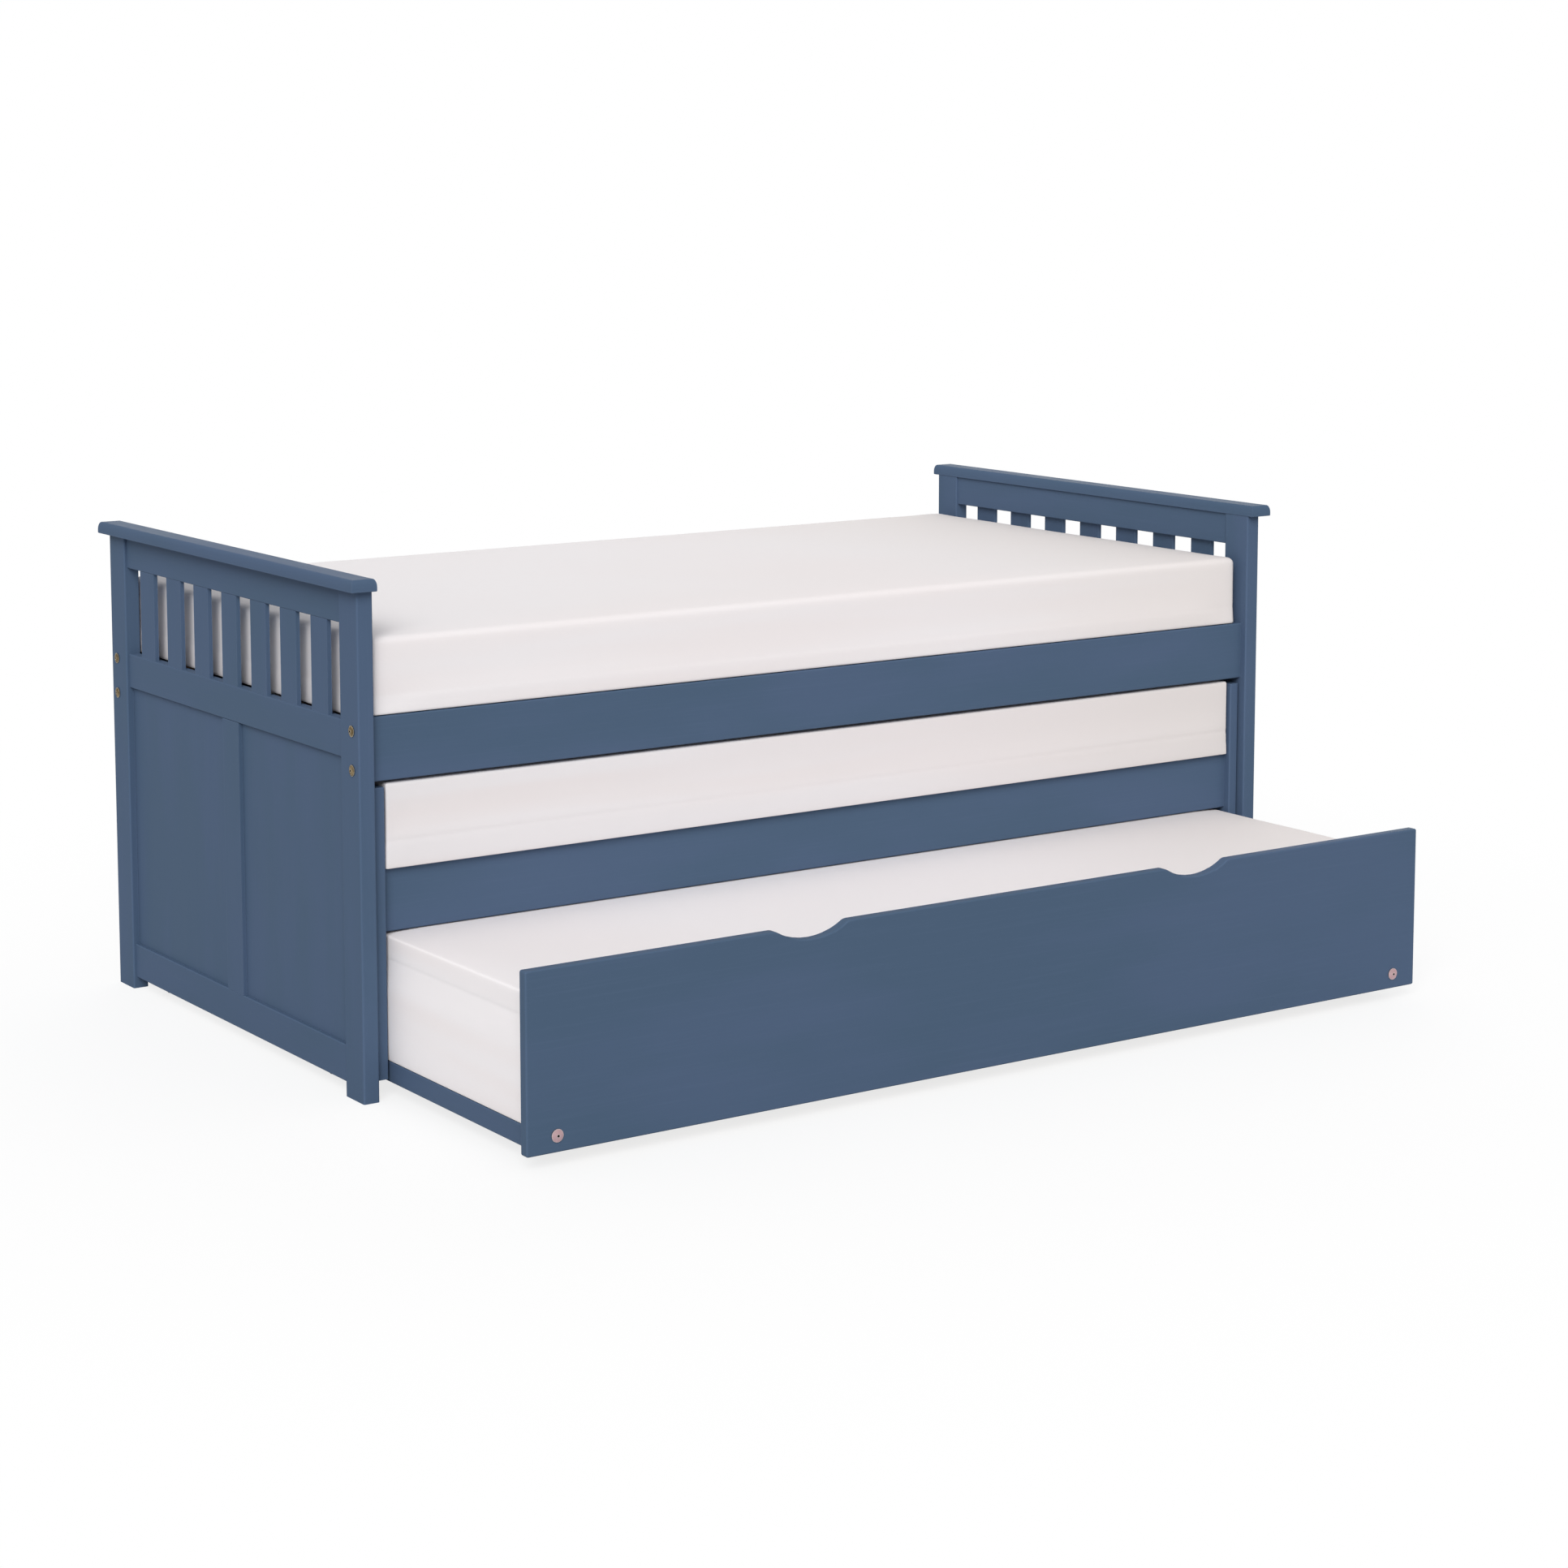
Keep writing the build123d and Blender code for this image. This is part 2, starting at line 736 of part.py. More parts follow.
def main_mattress():
    """Laps over both side rails, and between them reaches down to the deck."""
    end = post_inner - main_mattress_end_gap
    sides = (main_mattress_side_recess, bed_width - main_mattress_side_recess)
    between = (main_rail_inner + deck_clearance, bed_width - main_rail_inner - deck_clearance)
    bottom = main_deck_top + mattress_rest_gap
    lap = main_rail_top + mattress_lap_gap
    upper = mattress((-end, end), sides, (lap, bottom + main_mattress_thickness), mattress_round)
    lower = block((-end, end), between, (bottom, lap + mattress_foot_round))
    return upper + fillet(foot_edges(lower, bottom), mattress_foot_round)


def middle_mattress():
    end = middle_inner - middle_mattress_end_gap
    y = (middle_mattress_side_recess, bed_width - middle_mattress_side_recess)
    bottom = middle_deck_top + mattress_rest_gap
    z = (bottom, bottom + middle_mattress_thickness)
    return mattress((-end, end), y, z, lower_mattress_round)


def trundle_mattress():
    y = (front_board_back + trundle_mattress_front_gap, trundle_back)
    bottom = trundle_deck_top + mattress_rest_gap
    z = (bottom, bottom + trundle_mattress_thickness)
    return mattress((-trundle_outer, trundle_outer), y, z, lower_mattress_round)


# The three beds

def main_bed():
    deck_y = (main_rail_inner + deck_clearance, bed_width - main_rail_inner - deck_clearance)
    nodes = end_panel("footboard", lambda piece: piece)
    nodes.update(end_panel("headboard", turned))
    nodes["main_rail_front"] = main_rail()
    nodes["main_rail_back"] = turned(main_rail())
    nodes["main_cleats"] = cleats(post_inner, main_rail_inner, main_deck_top)
    nodes["main_deck_boards"] = deck(post_inner, deck_y, main_deck_top)
    nodes["bed_bolts"] = bed_bolts()
    nodes["bed_barrel_nuts"] = four_corners(barrel_nuts(post_inner, main_bolt_y, bolt_heights))
    nodes["main_mattress"] = main_mattress()
    return nodes


def middle_bed():
    deck_y = (middle_rail_back + deck_clearance, bed_width - middle_rail_back - deck_clearance)
    leg = middle_leg()
    back_leg = mirror(leg, about=Plane((0, bed_middle, 0), z_dir=(0, 1, 0)))
    caster_line = (middle_outer + middle_inner) / 2
    nodes = {
        "middle_leg_front_left": leg,
        "middle_leg_back_left": back_leg,
        "middle_leg_front_right": turned(back_leg),
        "middle_leg_back_right": turned(leg),
        "middle_rail_front": middle_side_rail(),
        "middle_rail_back": turned(middle_side_rail()),
        "middle_end_rail_left": middle_end_rail(middle_end_z),
        "middle_end_rail_right": turned(middle_end_rail(middle_end_z)),
        "middle_foot_rail_left": middle_end_rail(foot_rail_z),
        "middle_foot_rail_right": turned(middle_end_rail(foot_rail_z)),
        "middle_cleats": cleats(middle_inner, middle_rail_back, middle_deck_top),
        "middle_deck_boards": deck(middle_inner, deck_y, middle_deck_top),
        "middle_bolts": middle_bolts(),
        "middle_barrel_nuts": four_corners(barrel_nuts(middle_inner, middle_bolt_y, middle_bolt_heights)),
        "middle_mattress": middle_mattress(),
    }
    front, back = middle_leg_recess, bed_width - middle_leg_recess
    nodes.update(casters("middle", (-caster_line, caster_line), front, back))
    return nodes


def trundle():
    deck_y = (front_board_back + deck_clearance, trundle_back_inner - deck_clearance)
    nodes = {
        "trundle_front_board": front_board(),
        "trundle_side_rails": trundle_side_rails(),
        "trundle_back_rail": trundle_back_rail(),
        "trundle_ledgers": trundle_ledgers(),
        "trundle_bearers": trundle_bearers(),
        "trundle_deck_boards": deck(trundle_inner, deck_y, trundle_deck_top, bearer_places),
        "trundle_screws": trundle_screws(),
        "trundle_mattress": trundle_mattress(),
    }
    nodes.update(casters("trundle", bearer_centres(), front_board_back, trundle_back))
    return nodes


os.makedirs("parts", exist_ok=True)
for node, shape in {**main_bed(), **middle_bed(), **trundle()}.items():
    export_step(Pos(0, -origin_y, 0) * shape, f"parts/{node}.step")
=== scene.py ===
import json
import math

import bmesh
import bpy
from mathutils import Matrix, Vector, noise

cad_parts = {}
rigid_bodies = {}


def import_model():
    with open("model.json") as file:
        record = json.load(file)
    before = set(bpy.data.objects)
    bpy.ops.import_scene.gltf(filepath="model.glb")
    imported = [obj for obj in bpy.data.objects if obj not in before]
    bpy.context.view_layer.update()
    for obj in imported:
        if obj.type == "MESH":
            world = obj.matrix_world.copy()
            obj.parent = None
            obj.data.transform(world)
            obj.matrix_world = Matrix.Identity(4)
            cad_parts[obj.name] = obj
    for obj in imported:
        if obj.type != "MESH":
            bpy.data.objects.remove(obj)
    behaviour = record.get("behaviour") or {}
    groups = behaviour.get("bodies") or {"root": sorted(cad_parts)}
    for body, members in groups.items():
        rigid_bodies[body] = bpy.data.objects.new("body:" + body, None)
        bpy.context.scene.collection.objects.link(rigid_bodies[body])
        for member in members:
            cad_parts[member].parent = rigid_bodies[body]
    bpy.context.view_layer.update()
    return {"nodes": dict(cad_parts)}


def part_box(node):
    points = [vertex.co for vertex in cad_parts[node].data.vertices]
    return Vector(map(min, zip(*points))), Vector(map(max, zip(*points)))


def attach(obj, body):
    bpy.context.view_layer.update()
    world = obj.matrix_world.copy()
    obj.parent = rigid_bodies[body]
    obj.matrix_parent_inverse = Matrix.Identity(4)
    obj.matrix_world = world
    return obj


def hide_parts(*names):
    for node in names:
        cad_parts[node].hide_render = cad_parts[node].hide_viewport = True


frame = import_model()

# ---------------------------------------------------------------- settings (metres, linear colours)
CAMERA_PLACE = (-3.559, -5.238, 1.627)
CAMERA_TILT = math.radians(-6.957)
CAMERA_TURN = math.radians(-34.507)
CAMERA_LENS = 76.99
CAMERA_SENSOR = 36.0
CAMERA_SHIFT = -0.15

SKY_LEVEL = 0.52
# Each lamp: its name, level, the direction that it shines from, and its width in degrees.
LAMPS = (
    ("key", 0.70, (-0.53, -0.62, 0.578), 36.0),
    ("fill", 0.28, (0.60, 0.78, 0.18), 60.0),
)
# The floor's colour to the camera and to other rays, how much of the object's shadow shows on it,
# and the distances from the middle between which that shadow fades out.
FLOOR_SIZE = 60.0
FLOOR_COLOUR = (0.985, 0.985, 0.985, 1.0)
FLOOR_BOUNCE = (0.60, 0.60, 0.60, 1.0)
FLOOR_SHADOW = 0.22
SHADOW_FADE = (1.2, 2.6)

PAINT = (0.077, 0.118, 0.196, 1.0)
PAINT_DEEP = (0.070, 0.113, 0.181, 1.0)
# PAINT_EDGE is the paler paint of the rolled streaks and of the edges, where it is partly thin
# paint and partly painted highlight.
PAINT_EDGE = (0.096, 0.143, 0.230, 1.0)
COVER = (0.85, 0.82, 0.83, 1.0)
COVER_WARM = (0.84, 0.79, 0.79, 1.0)
# Painted shade: the covers darken towards this colour from 0.1 m to 1 m along X.
COVER_END_SHADE = (0.78, 0.73, 0.71, 1.0)
PINE_LIGHT = (0.72, 0.52, 0.30, 1.0)
PINE_DARK = (0.52, 0.31, 0.145, 1.0)
# The _RIM colours are the metals' pale edges: partly rubbed metal, partly painted highlight.
BRONZE = (0.42, 0.32, 0.18, 1.0)
BRONZE_DARK = (0.13, 0.09, 0.045, 1.0)
BRONZE_RIM = (0.95, 0.88, 0.74, 1.0)
PLATED = (0.95, 0.65, 0.68, 1.0)
PLATED_DARK = (0.86, 0.56, 0.59, 1.0)
PLATED_RIM = (0.95, 0.93, 0.90, 1.0)
ZINC = (0.55, 0.57, 0.59, 1.0)
ZINC_DARK = (0.36, 0.38, 0.40, 1.0)
ZINC_RIM = (0.66, 0.68, 0.70, 1.0)
# Painted shade: the near-black that metals take in their recesses.
PAINTED_RECESS_SHADE = (0.05, 0.035, 0.025, 1.0)
NYLON = (0.030, 0.030, 0.033, 1.0)
NYLON_WORN = (0.075, 0.075, 0.080, 1.0)
WHITE = (1.0, 1.0, 1.0, 1.0)

# How far from an edge each material's pale edge reaches (wear on pine and nylon; partly wear and
# partly painted highlight on paint and metal), how far into a recess a metal gets painted shade,
# and the cover's threads to a metre.
PAINT_WEAR_AND_HIGHLIGHT = 0.0035
PINE_WEAR = 0.003
METAL_WEAR_AND_HIGHLIGHT = 0.0022
NYLON_WEAR = 0.001
RECESS = 0.004
THREADS = 620.0

# Groups whose pieces run another way than the group's own longest side: 1 is Y and 2 is Z.
GROUP_GRAIN = {"slats": 2, "panels": 2, "side_rails": 1, "deck_boards": 1, "bearers": 1}

# Each mattress: its node, its body, the brightness of its cover (painted light: lowered on the
# middle mattress as shade under the main rail, raised on the trundle's as extra light), the
# rounding of its edges, how far its top falls at the edges, the height of its seam above the
# underside, the seam's depth, and how far the cover stands proud of the CAD solid at the foot end
# and on top.
MATTRESSES = (
    ("main_mattress", "main_bed", 0.98, 0.013, 0.003, 0.046, 0.0004, 0.0065, 0.0),
    ("middle_mattress", "middle_bed", 0.92, 0.005, 0.0005, 0.048, 0.0010, 0.001, 0.004),
    ("trundle_mattress", "trundle", 1.06, 0.005, 0.001, 0.178, 0.0009, 0.002, 0.001),
)
# The longest step of a mattress's grid, the rounding of its underside's edges, and the width over
# which its top falls.
MESH_STEP = 0.030
FOOT_ROUND = 0.0015
FALL_BORDER = 0.10
# A rounding has a cut this part of its width in from the box's edge, which lands a quarter of the
# way round it: 1 - tan(22.5 degrees).
QUARTER_ROUND = 0.586
# A seam or a lap's edge has cuts SEAM_HALF either side of it and no others within SEAM_CLEAR.
# Points of a side within SEAM_NEAR of the seam are on it.
SEAM_HALF = 0.005
SEAM_CLEAR = 1.2 * SEAM_HALF
SEAM_NEAR = SEAM_HALF * 0.6
SIDE_NORMAL = 0.5
# The main mattress is wider than its deck: its underside is lifted to LAP_GAP over the side rails,
# from LAP_EASE inside them, fading out over the lowest LAP_RISE of its sides.
LAP_GAP = 0.001
LAP_EASE = 0.006
LAP_RISE = 0.030
# The cover starts INSET inside its box, except underneath. As cloth it is held over the lowest
# UNDERSIDE and swells by up to SWELL.
INSET = 0.0012
UNDERSIDE = 0.004
SWELL = 0.002
PRESSURE = 4.0
CLOTH_QUALITY = 4
CLOTH_FRAMES = 20
# The unevenness of the cover, its frequency along each axis, and the height that it starts at.
RIPPLE = 0.0008
RIPPLE_SCALE = (2.2, 5.0, 14.0)
RIPPLE_START = 0.02

# ---------------------------------------------------------------- node helpers
class Nodes:
    """A material's node tree, with its shader, and short calls to add to it."""

    def __init__(self, name):
        self.material = bpy.data.materials.new(name)
        self.material.use_nodes = True
        self.tree = self.material.node_tree
        self.shader = self.tree.nodes["Principled BSDF"]

    def add(self, kind, settings=(), **inputs):
        """Adds a node, sets its properties, and sets or links its named inputs."""
        node = self.tree.nodes.new(kind)
        for key, value in dict(settings).items():
            setattr(node, key, value)
        for key, value in inputs.items():
            self.put(node, key.replace("_", " "), value)
        return node

    def put(self, node, socket, value):
        """Links a value to a socket if it is an output, and sets it otherwise."""
        target = node.inputs[socket]
        if isinstance(value, bpy.types.NodeSocket):
            self.tree.links.new(value, target)
        else:
            target.default_value = value

    def place(self, scale):
        """The surface's own coordinates, stretched by scale."""
        coordinates = self.add("ShaderNodeTexCoord")
        mapping = self.add("ShaderNodeMapping", Vector=coordinates.outputs["Object"])
        mapping.inputs["Scale"].default_value = scale
        return mapping.outputs["Vector"]

    def noise(self, scale, detail=3.0, roughness=0.55, distortion=0.0):
        """Noise whose frequency along each axis is scale, in cycles per metre."""
        node = self.add("ShaderNodeTexNoise", Vector=self.place(scale), Scale=1.0, Detail=detail)
        node.inputs["Roughness"].default_value = roughness
        node.inputs["Distortion"].default_value = distortion
        return node.outputs["Fac"]

    def wave(self, axis, frequency):
        """Even ridges across one axis, in cycles per metre."""
        scale = [0.0, 0.0, 0.0]
        scale[axis] = frequency * math.pi / 10.0
        settings = {"wave_type": "BANDS", "bands_direction": "XYZ"[axis], "wave_profile": "SIN"}
        node = self.add("ShaderNodeTexWave", settings, Vector=self.place(scale), Scale=1.0)
        return node.outputs["Fac"]

    def span(self, value, low, high, to_low=0.0, to_high=1.0):
        """The value's span from low to high, eased on to another span."""
        node = self.add("ShaderNodeMapRange", {"interpolation_type": "SMOOTHSTEP"}, Value=value)
        ends = {"From Min": low, "From Max": high, "To Min": to_low, "To Max": to_high}
        for key, number in ends.items():
            node.inputs[key].default_value = number
        return node.outputs["Result"]

    def maths(self, operation, first, second):
        """One operation on two values."""
        node = self.add("ShaderNodeMath", {"operation": operation})
        self.put(node, 0, first)
        self.put(node, 1, second)
        return node.outputs["Value"]

    def blend(self, factor, first, second):
        """The first colour where the factor is 0 and the second where it is 1."""
        node = self.add("ShaderNodeMix", {"data_type": "RGBA"})
        self.put(node, "Factor", factor)
        self.put(node, 6, first)
        self.put(node, 7, second)
        return node.outputs[2]

    def edges(self, radius):
        """1 on sharp edges and 0 on flats."""
        bevel = self.add("ShaderNodeBevel", {"samples": 4}, Radius=radius)
        flat = self.add("ShaderNodeNewGeometry").outputs["Normal"]
        dot = self.add("ShaderNodeVectorMath", {"operation": "DOT_PRODUCT"})
        self.put(dot, 0, bevel.outputs["Normal"])
        self.put(dot, 1, flat)
        return self.span(dot.outputs["Value"], 0.995, 0.90)

    def finish(self, colour, roughness, height, depth, strength):
        """Gives the shader its colour, roughness and bump, and returns the material."""
        self.put(self.shader, "Base Color", colour)
        self.put(self.shader, "Roughness", roughness)
        bump = self.add("ShaderNodeBump", Height=height, Strength=strength, Distance=depth)
        self.put(self.shader, "Normal", bump.outputs["Normal"])
        return self.material


def along(axis, fine, coarse):
    """A scale that is coarse along the grain's axis and fine across it."""
    return tuple(coarse if i == axis else fine for i in range(3))


# ---------------------------------------------------------------- materials
def painted_wood(axis):
    """Satin paint rolled along the grain, with the grain just showing, and paler on the edges,
    partly as thin paint and partly as a painted highlight.
    """
    n = Nodes("painted_wood_" + "xyz"[axis])
    streaks = n.noise(along(axis, 260.0, 5.0), detail=4.0)
    stipple = n.noise((900.0, 900.0, 900.0), detail=2.0)
    cloud = n.noise(along(axis, 7.0, 2.0), detail=2.0)
    tone = n.blend(n.span(cloud, 0.35, 0.65), PAINT_DEEP, PAINT)
    tone = n.blend(n.span(streaks, 0.45, 0.85, 0.0, 0.25), tone, PAINT_EDGE)
    # Painted highlight, partly thin paint: the edges go pale where a rounding would catch the
    # light.
    edge_wear_and_highlight = n.maths("MULTIPLY", n.edges(PAINT_WEAR_AND_HIGHLIGHT), n.span(cloud, 0.2, 0.7, 0.35, 0.9))
    tone = n.blend(edge_wear_and_highlight, tone, PAINT_EDGE)
    rough = n.span(n.maths("ADD", streaks, cloud), 0.7, 1.3, 0.48, 0.60)
    height = n.maths("ADD", n.maths("MULTIPLY", streaks, 0.7), n.maths("MULTIPLY", stipple, 0.3))
    n.shader.inputs["Specular IOR Level"].default_value = 0.06
    return n.finish(tone, rough, height, depth=0.0003, strength=0.35)


def deck_pine(axis):
    """Bare planed pine: growth lines drawn out along the board, with each board its own tone."""
    n = Nodes("deck_pine_" + "xyz"[axis])
    rings = n.noise(along(axis, 70.0, 1.6), detail=3.0, distortion=1.4)
    fibres = n.noise(along(axis, 900.0, 14.0), detail=2.0)
    board = n.noise(along(axis, 9.0, 0.2), detail=0.0)
    tone = n.blend(n.span(rings, 0.40, 0.62), PINE_LIGHT, PINE_DARK)
    tone = n.blend(n.span(board, 0.35, 0.65, 0.15, 0.65), tone, PINE_LIGHT)
    tone = n.blend(n.span(fibres, 0.5, 0.8, 0.0, 0.35), tone, PINE_DARK)
    tone = n.blend(n.maths("MULTIPLY", n.edges(PINE_WEAR), 0.5), tone, PINE_LIGHT)
    rough = n.span(fibres, 0.3, 0.7, 0.58, 0.74)
    n.shader.inputs["Specular IOR Level"].default_value = 0.30
    return n.finish(tone, rough, fibres, depth=0.0004, strength=0.4)


def metal(name, bright, dark, rim, roughness, scratch):
    """Plated metal: pale on its edges, partly rubbed and partly a painted highlight, with painted
    shade in its recesses, and scratched.
    """
    n = Nodes(name)
    patches = n.noise((140.0, 140.0, 140.0), detail=4.0)
    scratches = n.noise((scratch, 60.0, scratch), detail=2.0)
    tone = n.blend(n.span(patches, 0.35, 0.70), bright, dark)
    # Pale edges: partly rubbed metal, partly painted highlight.
    tone = n.blend(n.edges(METAL_WEAR_AND_HIGHLIGHT), tone, rim)
    # Painted shade: the metal goes near-black where ambient occlusion finds a recess.
    openness = n.add("ShaderNodeAmbientOcclusion", {"samples": 8}, Distance=RECESS).outputs["AO"]
    tone = n.blend(n.span(openness, 0.55, 0.90), PAINTED_RECESS_SHADE, tone)
    rough = n.span(patches, 0.3, 0.7, roughness - 0.08, roughness + 0.10)
    n.shader.inputs["Metallic"].default_value = 1.0
    return n.finish(tone, rough, scratches, depth=0.0001, strength=0.4)


def wheel_nylon():
    """Moulded nylon, scuffed pale on the tread."""
    n = Nodes("wheel_nylon")
    grain = n.noise((1200.0, 1200.0, 1200.0), detail=2.0)
    scuffs = n.noise((260.0, 90.0, 90.0), detail=4.0)
    tone = n.blend(n.span(scuffs, 0.45, 0.75, 0.0, 0.8), NYLON, NYLON_WORN)
    tone = n.blend(n.edges(NYLON_WEAR), tone, NYLON_WORN)
    rough = n.span(scuffs, 0.3, 0.7, 0.40, 0.58)
    return n.finish(tone, rough, grain, depth=0.0001, strength=0.3)


def mattress_cover(name, level):
    """Plain woven cover: threads crossing on every face, slubs, slow changes of tint, and painted
    shade towards its +X end.
    """
    n = Nodes(name)
    plain, warm = ([level * part for part in tone[:3]] + [1.0] for tone in (COVER, COVER_WARM))
    end_shade = [min(1.0, level) * part for part in COVER_END_SHADE[:3]] + [1.0]
    upright = n.maths("ADD", n.wave(1, THREADS), n.wave(2, THREADS))
    threads = n.maths("ADD", n.wave(0, THREADS), upright)
    slubs = n.noise((60.0, 60.0, 500.0), detail=3.0)
    shade = n.noise((0.9, 0.9, 14.0), detail=2.0, roughness=0.4)
    tone = n.blend(n.span(shade, 0.35, 0.65), warm, plain)
    tone = n.blend(n.span(slubs, 0.55, 0.85, 0.0, 0.25), tone, warm)
    # Painted shade: darker towards the +X end.
    lengthways = n.add("ShaderNodeSeparateXYZ", Vector=n.place((1.0, 1.0, 1.0))).outputs["X"]
    tone = n.blend(n.span(lengthways, 0.1, 1.0, 0.0, 0.8), tone, end_shade)
    rough = n.span(slubs, 0.3, 0.7, 0.80, 0.92)
    height = n.maths("ADD", n.maths("MULTIPLY", threads, 0.3), n.maths("MULTIPLY", slubs, 0.4))
    n.shader.inputs["Specular IOR Level"].default_value = 0.20
    n.shader.inputs["Sheen Weight"].default_value = 0.05
    n.shader.inputs["Sheen Roughness"].default_value = 0.5
    return n.finish(tone, rough, height, depth=0.0004, strength=0.3)


def grain_axis(node):
    """The axis that a wooden node's grain runs along: its longest side, unless it is a group."""
    for ending, axis in GROUP_GRAIN.items():
        if node.endswith(ending):
            return axis
    low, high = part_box(node)
    size = high - low
    return max(range(3), key=lambda i: size[i])


def dress_cad():
    """Gives every CAD node the material of its slot, with wood's grain along the node."""
    wood = {
        "painted_wood": [painted_wood(axis) for axis in range(3)],
        "deck_pine": [deck_pine(axis) for axis in range(3)],
    }
    # Each metal: its colour, its dark patch colour, its edge colour (partly rubbed metal, partly
    # painted highlight), its roughness, and its scratches' frequency.
    metals = {
        "bed_bolt_bronze": (BRONZE, BRONZE_DARK, BRONZE_RIM, 0.34, 900.0),
        "trundle_screw_metal": (PLATED, PLATED_DARK, PLATED_RIM, 0.28, 900.0),
        "zinc_steel": (ZINC, ZINC_DARK, ZINC_RIM, 0.38, 700.0),
    }
    plain = {name: metal(name, *row) for name, row in metals.items()}
    plain["wheel_nylon"] = wheel_nylon()
    plain["mattress_cover"] = mattress_cover("mattress_cover", 1.0)
    for name, node in frame["nodes"].items():
        for place in node.material_slots:
            finish = place.material.name
            place.material = wood[finish][grain_axis(name)] if finish in wood else plain[finish]


# ---------------------------------------------------------------- mattresses
def steps(low, high, near, far, around):
    """Even cuts between two values, with closer ones in the roundings and about some values."""
    start, end = low + near, high - far
    count = max(2, round((end - start) / MESH_STEP))
    cuts = [start + (end - start) * i / count for i in range(count + 1)]
    cuts += [low, low + QUARTER_ROUND * near, high - QUARTER_ROUND * far, high]
    cuts = [cut for cut in cuts if all(abs(cut - value) > SEAM_CLEAR for value in around)]
    sides = (-SEAM_HALF, 0.0, SEAM_HALF)
    return sorted(cuts + [value + side for value in around for side in sides])


def shell(cuts):
    """A closed box whose sides are cut into a grid at the given places along X, Y and Z."""
    build = bmesh.new()
    made = {}

    def vertex(place):
        if place not in made:
            made[place] = build.verts.new([cuts[axis][i] for axis, i in enumerate(place)])
        return made[place]

    for axis in range(3):
        across, up = (axis + 1) % 3, (axis + 2) % 3
        for side in (0, len(cuts[axis]) - 1):
            for i in range(len(cuts[across]) - 1):
                for j in range(len(cuts[up]) - 1):
                    corners = []
                    for di, dj in ((0, 0), (1, 0), (1, 1), (0, 1)):
                        place = {axis: side, across: i + di, up: j + dj}
                        corners.append(vertex((place[0], place[1], place[2])))
                    build.faces.new(corners if side else corners[::-1])
    return build


def block(low, high, rounding, around):
    """A closed box in a grid, rounded on its upper and upright edges and crisper underneath."""
    foot = (rounding, rounding, FOOT_ROUND)
    build = shell([steps(low[i], high[i], foot[i], rounding, around[i]) for i in range(3)])
    for vertex in build.verts:
        inner = [min(max(vertex.co[i], low[i] + foot[i]), high[i] - rounding) for i in range(3)]
        reach = Vector((rounding, rounding, rounding if vertex.co.z > inner[2] else FOOT_ROUND))
        out = Vector([(vertex.co[i] - inner[i]) / reach[i] for i in range(3)])
        if out.length > 1.0:
            out.normalize()
        vertex.co = [inner[i] + out[i] * reach[i] for i in range(3)]
    mesh = bpy.data.meshes.new("block")
    build.to_mesh(mesh)
    build.free()
    return mesh


def apply_modifiers(piece):
    """Replaces the piece's mesh by what its modifiers make of it."""
    evaluated = piece.evaluated_get(bpy.context.evaluated_depsgraph_get())
    made = bpy.data.meshes.new_from_object(evaluated)
    piece.modifiers.clear()
    piece.data = made


def crown(piece, low, high, drop):
    """Lets the upper part of the mattress fall a little towards its ends and sides."""
    for vertex in piece.data.vertices:
        x, y, z = vertex.co
        upper = max(0.0, (z - low.z) / (high.z - low.z))
        nearest = min(x - low.x, high.x - x, y - low.y, high.y - y)
        edge = min(1.0, max(0.0, 1.0 - nearest / FALL_BORDER))
        vertex.co.z = z - upper * drop * (edge * edge)


def inflate(piece, low):
    """Blows the cover up as cloth from its flat underside, and lets no point move past SWELL."""
    rest = [vertex.co.copy() for vertex in piece.data.vertices]
    held = piece.vertex_groups.new(name="underside")
    held.add([i for i, co in enumerate(rest) if co.z < low.z + UNDERSIDE], 1.0, "REPLACE")
    cloth = piece.modifiers.new("cloth", "CLOTH").settings
    cloth.vertex_group_mass = "underside"
    cloth.use_pressure = True
    cloth.uniform_pressure_force = PRESSURE
    cloth.effector_weights.gravity = 0.0
    cloth.quality = CLOTH_QUALITY
    for number in range(1, CLOTH_FRAMES + 1):
        bpy.context.scene.frame_set(number)
    apply_modifiers(piece)
    bpy.context.scene.frame_set(1)
    for vertex, start in zip(piece.data.vertices, rest):
        move = vertex.co - start
        if move.length > 1e-9:
            vertex.co = start + move.normalized() * SWELL * (1.0 - math.exp(-move.length / SWELL))


def push(piece, distance):
    """Moves every point along its normal by what distance makes of its place and normal."""
    piece.data.update()
    normals = [vertex.normal.copy() for vertex in piece.data.vertices]
    for vertex, normal in zip(piece.data.vertices, normals):
        vertex.co = vertex.co + normal * distance(vertex.co, normal)


def sew(piece, low, seam, depth):
    """Draws the border seam in round the sides, after the swelling."""
    def inwards(place, normal):
        on_seam = abs(place.z - low.z - seam) < SEAM_NEAR and abs(normal.z) < SIDE_NORMAL
        return -depth if on_seam else 0.0
    push(piece, inwards)


def ripple(piece, low):
    """Gives the cover the slight unevenness of foam under cloth, none of it underneath."""
    def unevenly(place, normal):
        if place.z < low.z + RIPPLE_START:
            return 0.0
        return RIPPLE * (noise.noise(Vector([place[i] * RIPPLE_SCALE[i] for i in range(3)])) - 0.5)
    push(piece, unevenly)


def lift_over_rails(piece, low, high, inside):
    """Lifts the underside over the side rails, where the mattress is wider than the deck."""
    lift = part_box("main_rail_front")[1].z + LAP_GAP - low.z
    for vertex in piece.data.vertices:
        if min(vertex.co.y, low.y + high.y - vertex.co.y) < inside:
            vertex.co.z += lift * max(0.0, 1.0 - (vertex.co.z - low.z) / LAP_RISE)


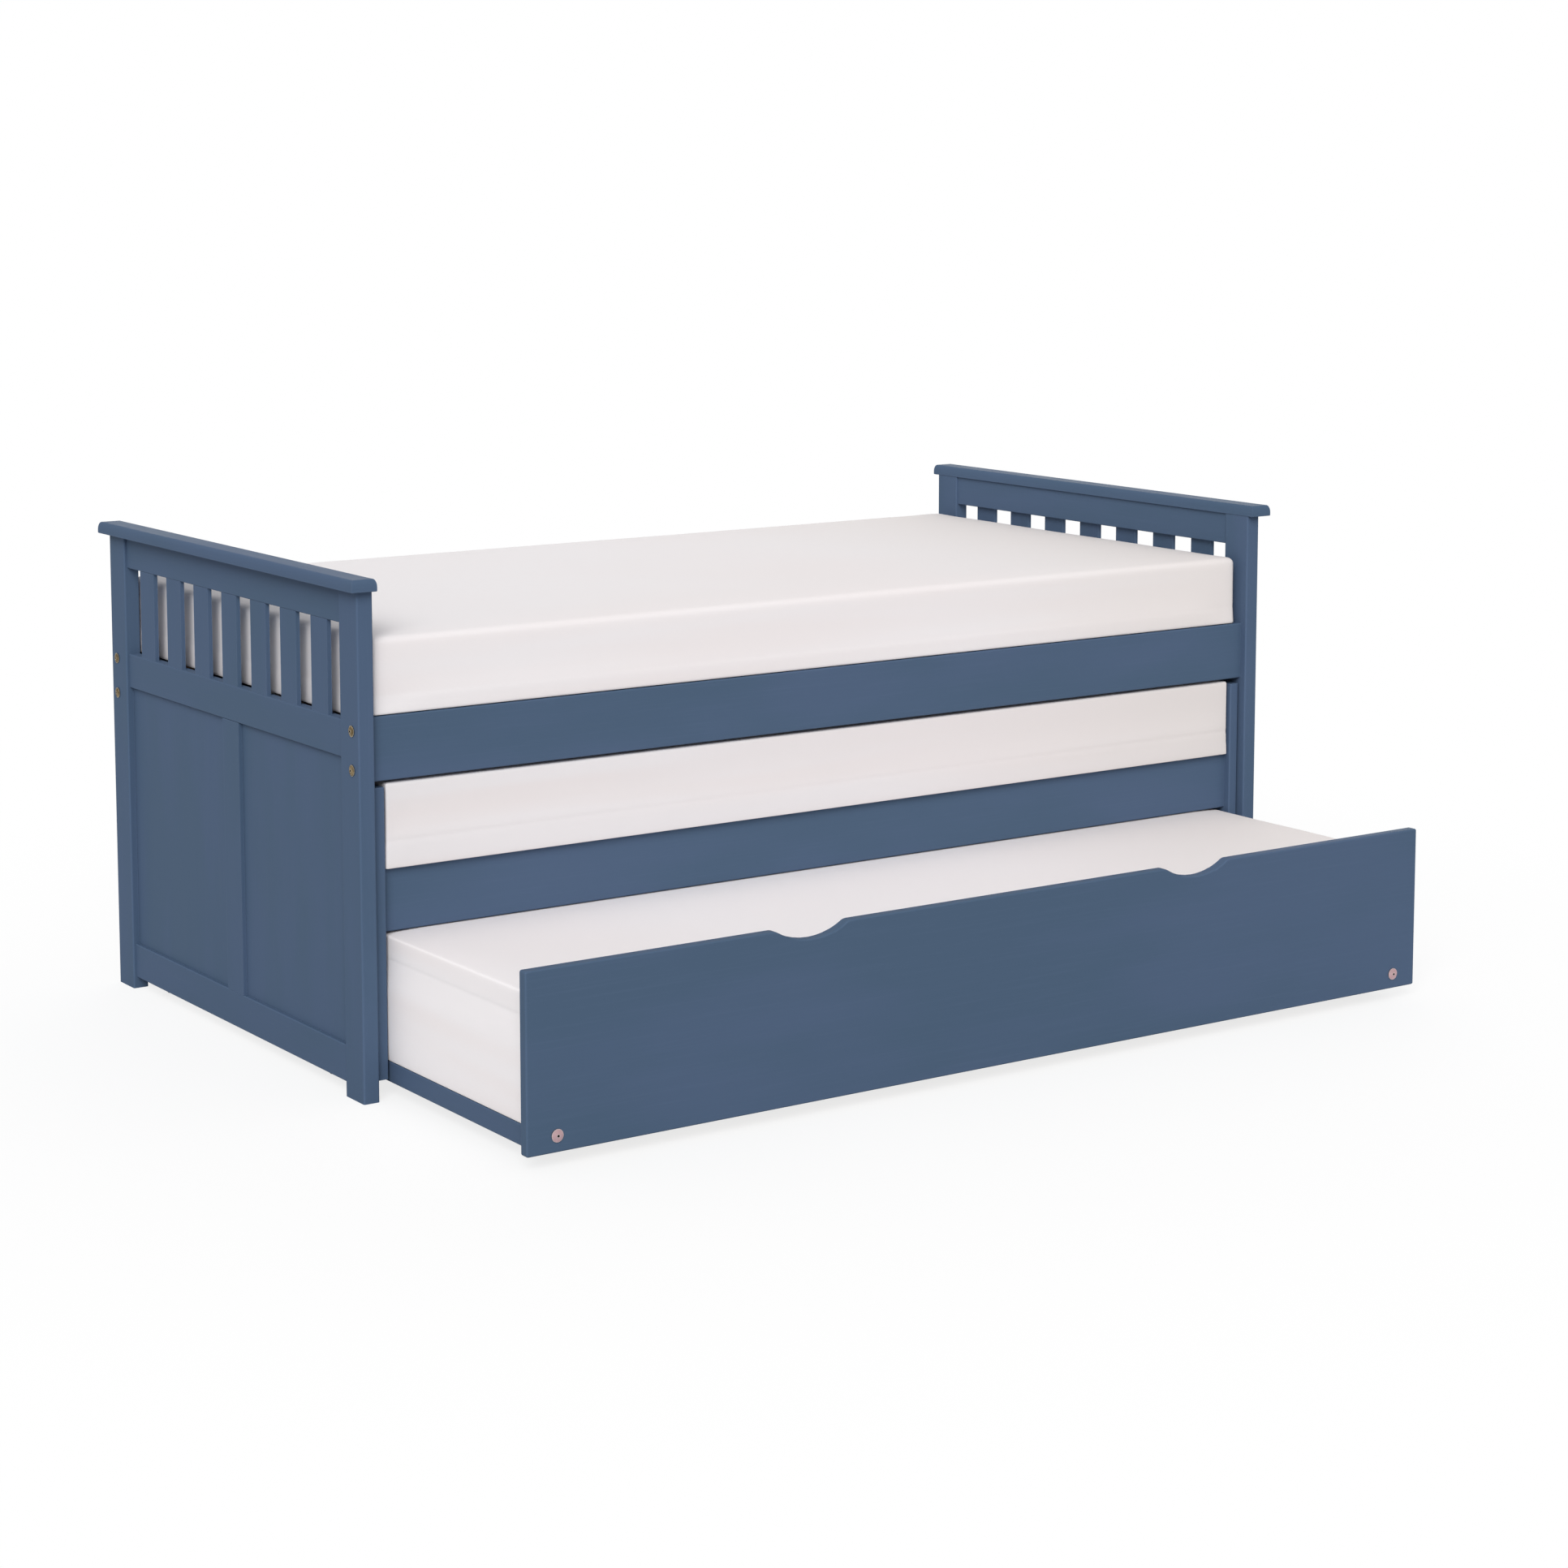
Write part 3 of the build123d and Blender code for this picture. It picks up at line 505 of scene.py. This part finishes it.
def mattress(name, body, level, rounding, drop, seam, seam_depth, foot_proud, top_proud):
    """A crowned foam mattress in a woven cover, in the space of its CAD node."""
    low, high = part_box(name)
    low = low - Vector((foot_proud, 0.0, 0.0))
    high = high + Vector((0.0, 0.0, top_proud))
    start_low = low + Vector((INSET, INSET, 0.0))
    start_high = high - Vector((INSET, INSET, INSET))
    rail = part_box("main_rail_front")[1].y + LAP_EASE
    laps = (rail, low.y + high.y - rail) if name == "main_mattress" else ()
    mesh = block(start_low, start_high, rounding, ((), laps, (low.z + seam,)))
    piece = bpy.data.objects.new(name + "_cover", mesh)
    bpy.context.scene.collection.objects.link(piece)
    crown(piece, low, high, drop)
    inflate(piece, low)
    sew(piece, low, seam, seam_depth)
    if laps:
        lift_over_rails(piece, low, high, rail)
    piece.modifiers.new("smooth", "SUBSURF").levels = 1
    apply_modifiers(piece)
    ripple(piece, low)
    for vertex in piece.data.vertices:
        vertex.co = [min(max(vertex.co[i], low[i]), high[i]) for i in range(3)]
    piece.data.shade_smooth()
    piece.data.materials.clear()
    # The level makes this mattress's cover a lit or shaded copy of the others: painted light.
    piece.data.materials.append(mattress_cover(name + "_cover", level))
    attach(piece, body)
    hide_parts(name)


# ---------------------------------------------------------------- studio
def floor():
    """A plain pale floor that is white to the camera, apart from part of the object's shadow."""
    mesh = bpy.data.meshes.new("studio_floor")
    half = FLOOR_SIZE / 2
    corners = [(-half, -half, 0), (half, -half, 0), (half, half, 0), (-half, half, 0)]
    mesh.from_pydata(corners, [], [(0, 1, 2, 3)])
    plane = bpy.data.objects.new("studio_floor", mesh)
    bpy.context.scene.collection.objects.link(plane)
    n = Nodes("studio_floor")
    n.put(n.shader, "Roughness", 0.9)
    n.put(n.shader, "Specular IOR Level", 0.0)
    white = n.add("ShaderNodeEmission", Strength=1.0)
    seen = n.add("ShaderNodeLightPath").outputs["Is Camera Ray"]
    n.put(n.shader, "Base Color", n.blend(seen, FLOOR_BOUNCE, FLOOR_COLOUR))
    distance = n.add("ShaderNodeVectorMath", {"operation": "LENGTH"})
    n.put(distance, 0, n.place((1.0, 1.0, 1.0)))
    whiteness = n.span(distance.outputs["Value"], *SHADOW_FADE, 1.0 - FLOOR_SHADOW, 1.0)
    mix = n.add("ShaderNodeMixShader", Fac=n.maths("MULTIPLY", seen, whiteness))
    n.put(mix, 1, n.shader.outputs["BSDF"])
    n.put(mix, 2, white.outputs["Emission"])
    n.put(n.tree.nodes["Material Output"], "Surface", mix.outputs["Shader"])
    mesh.materials.append(n.material)


def sky():
    """A soft even sky, white where the camera sees it."""
    world = bpy.data.worlds.new("studio_sky")
    bpy.context.scene.world = world
    world.use_nodes = True
    tree = world.node_tree
    tree.nodes.clear()
    seen = tree.nodes.new("ShaderNodeLightPath").outputs["Is Camera Ray"]
    mix = tree.nodes.new("ShaderNodeMixShader")
    tree.links.new(seen, mix.inputs["Fac"])
    for socket, strength in ((1, SKY_LEVEL), (2, 1.0)):
        glow = tree.nodes.new("ShaderNodeBackground")
        glow.inputs["Color"].default_value = WHITE
        glow.inputs["Strength"].default_value = strength
        tree.links.new(glow.outputs["Background"], mix.inputs[socket])
    output = tree.nodes.new("ShaderNodeOutputWorld")
    tree.links.new(mix.outputs["Shader"], output.inputs["Surface"])


def lamp(name, level, source, width):
    """A wide soft lamp far away."""
    data = bpy.data.lights.new(name, "SUN")
    data.energy = level * math.pi
    data.angle = math.radians(width)
    light = bpy.data.objects.new(name, data)
    light.rotation_mode = "QUATERNION"
    light.rotation_quaternion = Vector(source).to_track_quat("Z", "Y")
    bpy.context.scene.collection.objects.link(light)


def camera():
    """The camera at the photograph's viewpoint."""
    data = bpy.data.cameras.new("camera")
    data.lens = CAMERA_LENS
    data.sensor_width = CAMERA_SENSOR
    data.shift_y = CAMERA_SHIFT
    view = bpy.data.objects.new("camera", data)
    view.location = CAMERA_PLACE
    view.rotation_euler = (math.pi / 2 + CAMERA_TILT, 0.0, CAMERA_TURN)
    bpy.context.scene.collection.objects.link(view)
    bpy.context.scene.camera = view


# ---------------------------------------------------------------- the scene
for leftover in [o for o in bpy.data.objects if o.name in ("Cube", "Light", "Camera")]:
    bpy.data.objects.remove(leftover)
bpy.context.scene.view_settings.view_transform = "Standard"
camera()
sky()
for row in LAMPS:
    lamp(*row)
floor()
dress_cad()
for row in MATTRESSES:
    mattress(*row)
